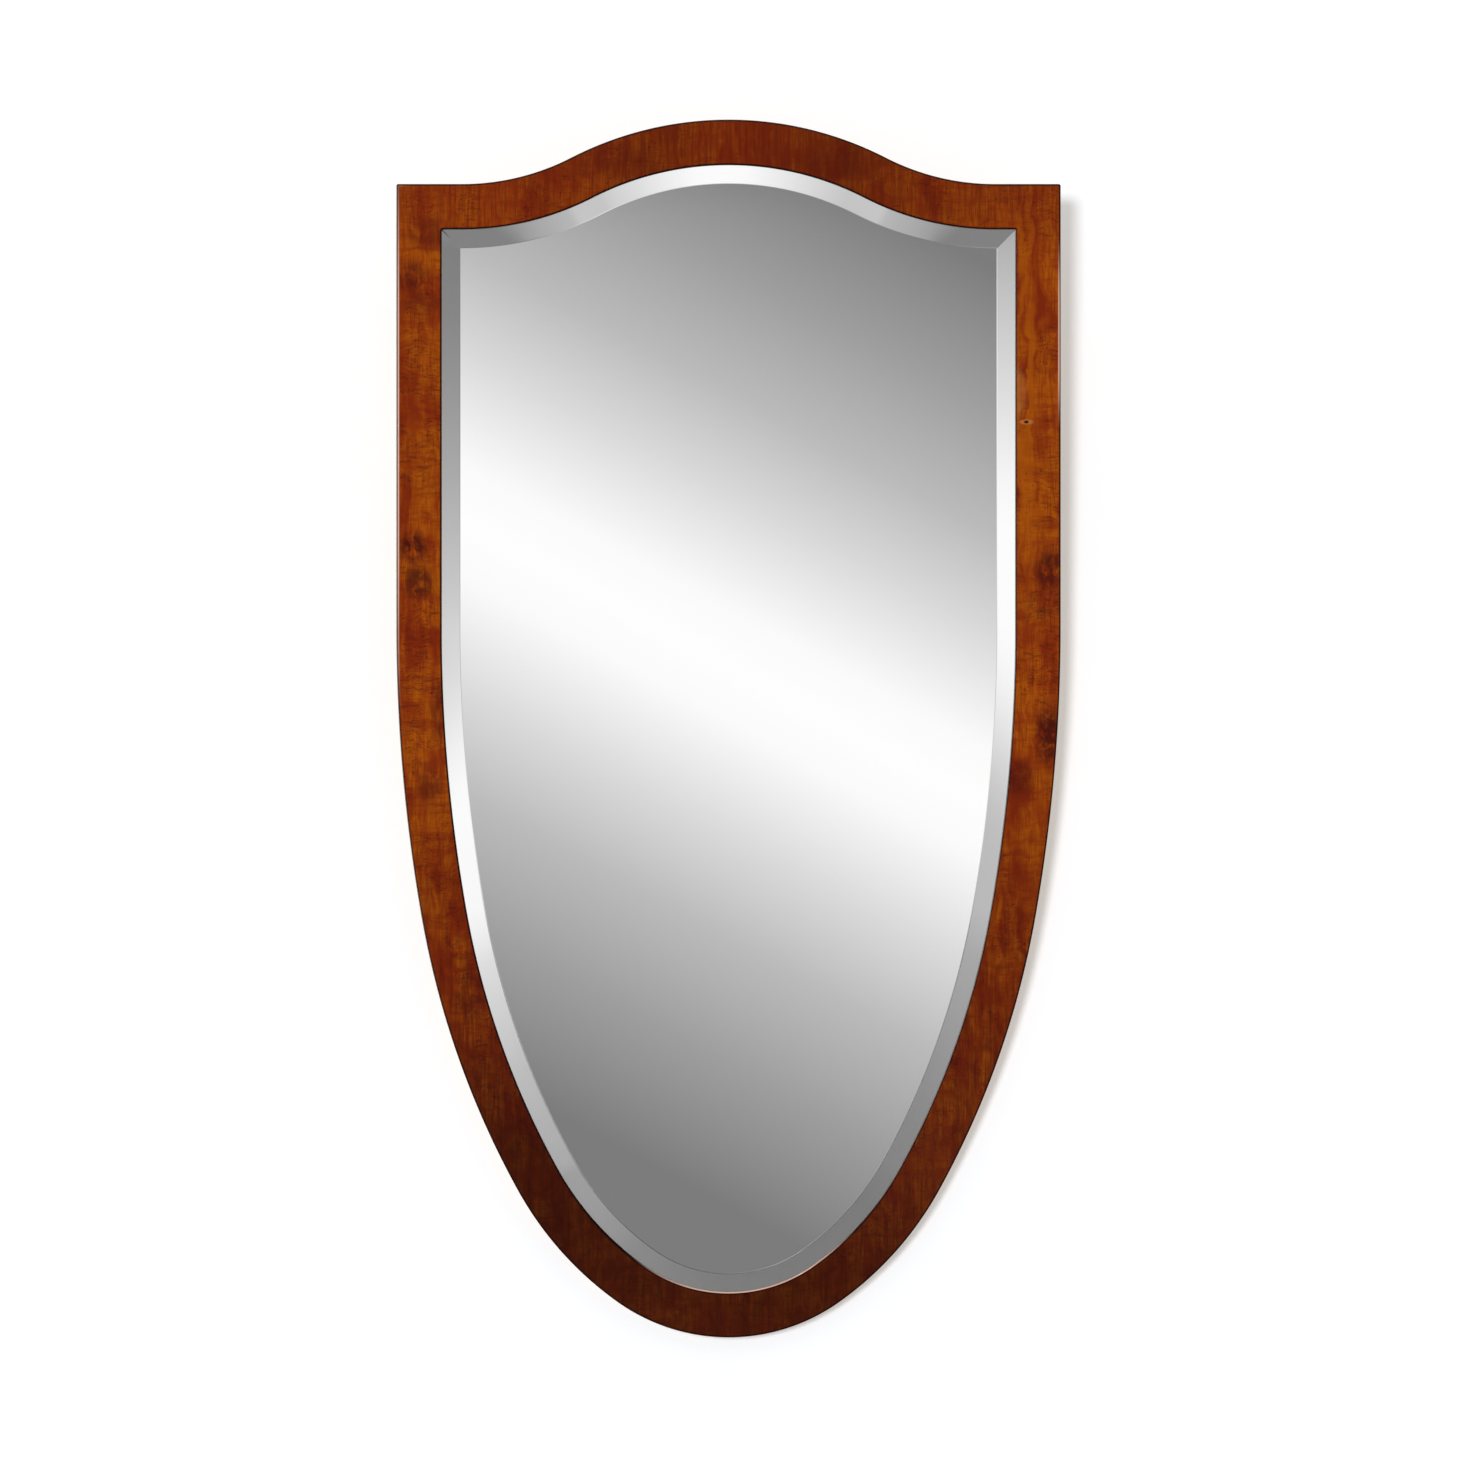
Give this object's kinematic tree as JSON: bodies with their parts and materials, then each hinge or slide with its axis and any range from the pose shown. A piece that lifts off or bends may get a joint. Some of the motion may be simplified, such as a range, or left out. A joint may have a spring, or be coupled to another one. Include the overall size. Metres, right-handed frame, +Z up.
{
  "type": "shield mirror",
  "caption": "Shield-shaped wall mirror: a flat mahogany-veneered frame with a domed top and a rounded point, a bevelled plate, a boarded back and ring hangers.",
  "frame": {"origin": "middle of the line through the two ring pivots, on the wall plane", "axes": "+Z up along the mirror's height, +Y into the wall, so the face looks along -Y; +X to the right as seen from the front"},
  "size_m": [0.6, 0.027, 1.1],
  "materials": {
    "pine": "planed, aged",
    "pine_board": "planed, aged",
    "mahogany_veneer": "french polished",
    "plate_glass": "polished",
    "silver_coat": "silvered, painted on the back",
    "brass": "lacquered, dulled",
    "rubber": "matt"
  },
  "bodies": {
    "frame": {"top_rail": "pine", "bottom_rib": "pine", "left_stile": "pine", "right_stile": "pine", "left_lower_rib": "pine", "right_lower_rib": "pine", "top_veneer": "mahogany_veneer", "left_stile_veneer": "mahogany_veneer", "right_stile_veneer": "mahogany_veneer", "left_lower_veneer": "mahogany_veneer", "right_lower_veneer": "mahogany_veneer", "bottom_veneer": "mahogany_veneer", "top_edge_veneer": "mahogany_veneer", "left_edge_veneer": "mahogany_veneer", "right_edge_veneer": "mahogany_veneer", "bottom_edge_veneer": "mahogany_veneer", "top_sight_veneer": "mahogany_veneer", "left_sight_veneer": "mahogany_veneer", "right_sight_veneer": "mahogany_veneer", "bottom_sight_veneer": "mahogany_veneer", "mirror_plate": "plate_glass", "silvering": "silver_coat", "glazing_blocks": "pine", "backboard_centre": "pine_board", "backboard_left": "pine_board", "backboard_right": "pine_board", "backboard_screws": "brass", "left_hanger_screws": "brass", "right_hanger_screws": "brass", "left_hanger_strap": "brass", "right_hanger_strap": "brass", "left_bumper": "rubber", "right_bumper": "rubber"},
    "left_ring": {"left_hanger_ring": "brass"},
    "right_ring": {"right_hanger_ring": "brass"}
  },
  "joints": [
    {"name": "left_ring_swing", "type": "hinge", "parent": "frame", "child": "left_ring", "pos_m": [-0.2875, -0.0032, 0], "axis": [1, 0, 0], "range_deg": [0, 180]},
    {"name": "right_ring_swing", "type": "hinge", "parent": "frame", "child": "right_ring", "pos_m": [0.2875, -0.0032, 0], "axis": [1, 0, 0], "range_deg": [0, 180]}
  ]
}
